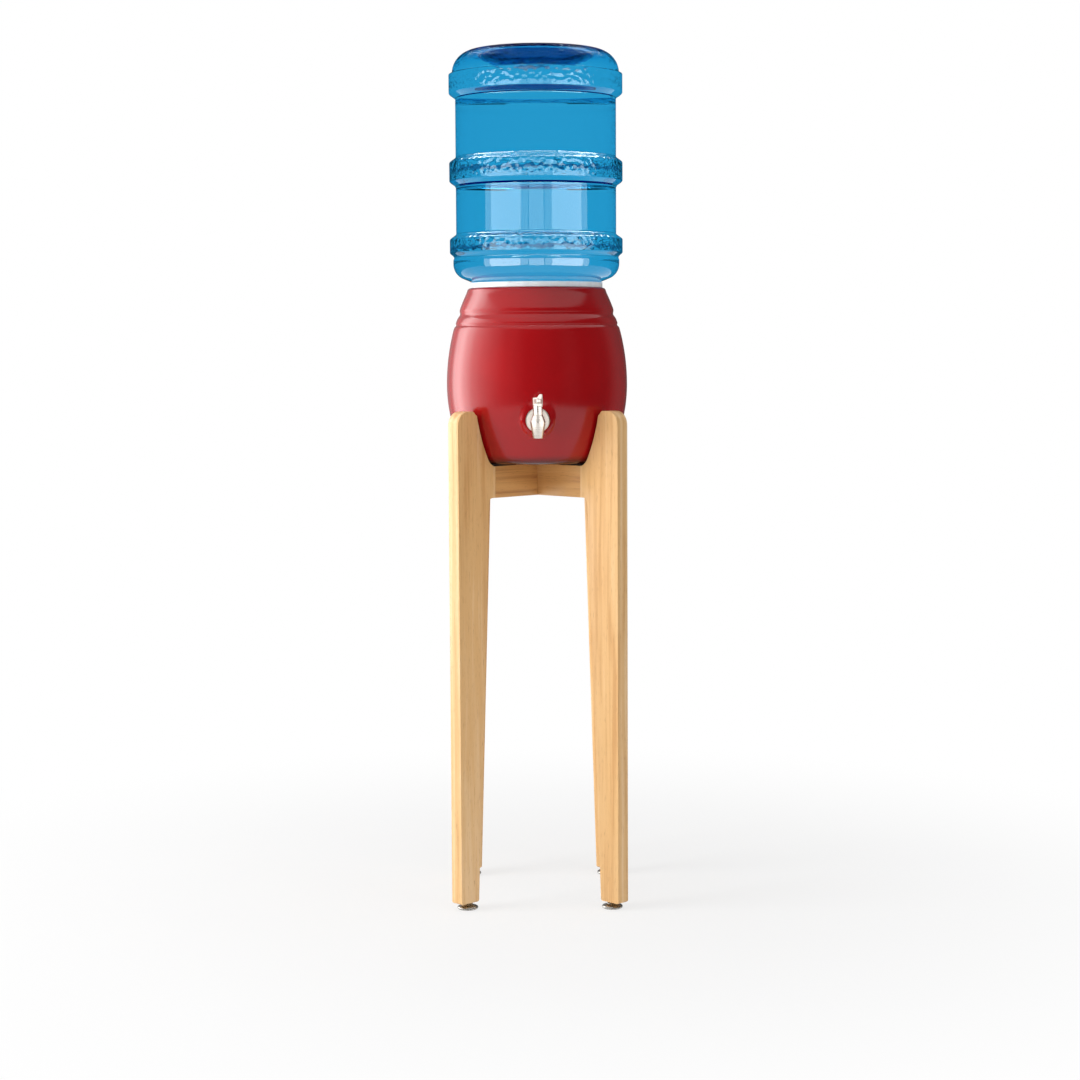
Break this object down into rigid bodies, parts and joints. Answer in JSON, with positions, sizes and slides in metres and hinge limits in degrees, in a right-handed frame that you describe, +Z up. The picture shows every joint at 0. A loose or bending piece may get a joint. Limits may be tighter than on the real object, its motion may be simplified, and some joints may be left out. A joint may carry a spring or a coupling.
{
  "type": "water crock dispenser with stand",
  "caption": "Glazed ceramic water crock with a cam-lever tap, on a tall wooden stand, with an upturned ribbed water bottle on its mouth.",
  "frame": {"origin": "on the floor, under the middle of the whole object's box; the crock's axis is 20.25 mm behind it", "axes": "+Z up along the crock's axis; -Y is the front, where the tap points; +X is to the right seen from the front"},
  "size_m": [0.253, 0.2935, 1.186],
  "materials": {
    "leg_wood": "satin lacquer, light rubberwood with straight grain",
    "beam_wood": "satin lacquer, light rubberwood",
    "dowel_wood": "raw",
    "pad_rubber": "matte black",
    "insert_brass": "machined",
    "foot_steel": "nickel-plated, satin",
    "crock_glaze": "glossy red glaze",
    "seat_plastic": "white, smooth",
    "bottle_plastic": "clear blue, ribs with a pebbled texture",
    "tap_steel": "brushed stainless",
    "gasket_rubber": "matte",
    "spring_steel": "bright wire"
  },
  "bodies": {
    "stand": {"leg_front_left": "leg_wood", "leg_front_right": "leg_wood", "leg_rear_left": "leg_wood", "leg_rear_right": "leg_wood", "beam_under": "beam_wood", "beam_over": "beam_wood", "beam_dowels": "dowel_wood", "crock_pads": "pad_rubber", "foot_inserts": "insert_brass"},
    "foot_front_left": {"foot_disc_front_left": "foot_steel", "foot_stud_front_left": "foot_steel"},
    "foot_front_right": {"foot_disc_front_right": "foot_steel", "foot_stud_front_right": "foot_steel"},
    "foot_rear_left": {"foot_disc_rear_left": "foot_steel", "foot_stud_rear_left": "foot_steel"},
    "foot_rear_right": {"foot_disc_rear_right": "foot_steel", "foot_stud_rear_right": "foot_steel"},
    "crock": {"crock": "crock_glaze", "tap_body": "tap_steel", "tap_flange": "tap_steel", "outer_gasket": "gasket_rubber", "inner_gasket": "gasket_rubber", "tap_nut": "tap_steel", "tap_bonnet": "tap_steel", "stem_oring": "gasket_rubber", "stem_spring": "spring_steel"},
    "seat_ring": {"seat_ring": "seat_plastic"},
    "bottle": {"bottle": "bottle_plastic"},
    "valve_stem": {"valve_stem": "tap_steel", "valve_seal": "gasket_rubber"},
    "lever": {"lever": "tap_steel", "lever_pin": "tap_steel"}
  },
  "joints": [
    {"name": "foot_screw_front_left", "type": "slide", "parent": "stand", "child": "foot_front_left", "axis": [0, 0, -1], "range_m": [0, 0.008]},
    {"name": "foot_screw_front_right", "type": "slide", "parent": "stand", "child": "foot_front_right", "axis": [0, 0, -1], "range_m": [0, 0.008]},
    {"name": "foot_screw_rear_left", "type": "slide", "parent": "stand", "child": "foot_rear_left", "axis": [0, 0, -1], "range_m": [0, 0.008]},
    {"name": "foot_screw_rear_right", "type": "slide", "parent": "stand", "child": "foot_rear_right", "axis": [0, 0, -1], "range_m": [0, 0.008]},
    {"name": "crock_lift", "type": "slide", "parent": "stand", "child": "crock", "axis": [0, 0, 1], "range_m": [0, 0.09]},
    {"name": "seat_lift", "type": "slide", "parent": "crock", "child": "seat_ring", "axis": [0, 0, 1], "range_m": [0, 0.03]},
    {"name": "bottle_lift", "type": "slide", "parent": "seat_ring", "child": "bottle", "axis": [0, 0, 1], "range_m": [0, 0.09]},
    {"name": "stem_lift", "type": "slide", "parent": "crock", "child": "valve_stem", "axis": [0, 0, 1], "range_m": [0, 0.002], "deforming": ["stem_spring"]},
    {"name": "lever_turn", "type": "hinge", "parent": "valve_stem", "child": "lever", "pos_m": [0, -0.12975, 0.6984], "axis": [0, 0, 1], "range_deg": [0, 90]}
  ],
  "couplings": [
    {"joint": "stem_lift", "follows": "lever_turn", "m_per_rad": 0.00125}
  ]
}
